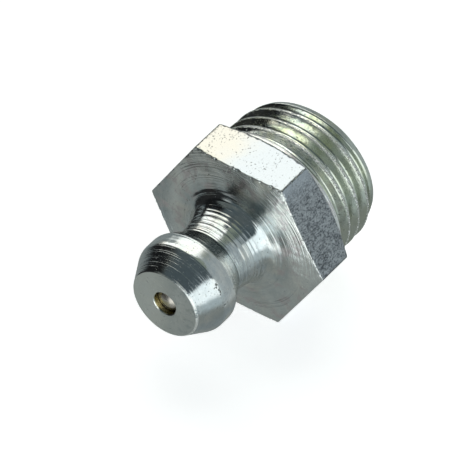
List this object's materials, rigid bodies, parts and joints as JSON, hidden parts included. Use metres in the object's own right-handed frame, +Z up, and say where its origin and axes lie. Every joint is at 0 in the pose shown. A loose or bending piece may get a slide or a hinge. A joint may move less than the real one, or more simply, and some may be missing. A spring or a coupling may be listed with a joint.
{
  "type": "grease nipple",
  "caption": "Straight button-head grease nipple with a hexagon, a short taper thread and a sprung check ball behind its inlet.",
  "frame": {"origin": "on the axis, at the rear face of the collar, where the threaded shank begins", "axes": "+Y along the axis from the nose to the threaded end, +Z up, square to the hexagon's upper flat as the nipple lies on the lower one"},
  "size_m": [0.0126, 0.0149, 0.011],
  "materials": {
    "plated_steel": "bright zinc plate over turned steel",
    "ball_steel": "polished hardened steel",
    "spring_wire": "bright drawn spring wire"
  },
  "bodies": {
    "nipple": {"nipple_body": "plated_steel", "spring": "spring_wire"},
    "ball": {"check_ball": "ball_steel"}
  },
  "joints": [
    {"name": "ball_lift", "type": "slide", "parent": "nipple", "child": "ball", "axis": [0, 1, 0], "range_m": [0, 0.0012], "stiffness_N_per_m": 450, "springref_m": -0.0015, "deforming": ["spring"]}
  ]
}
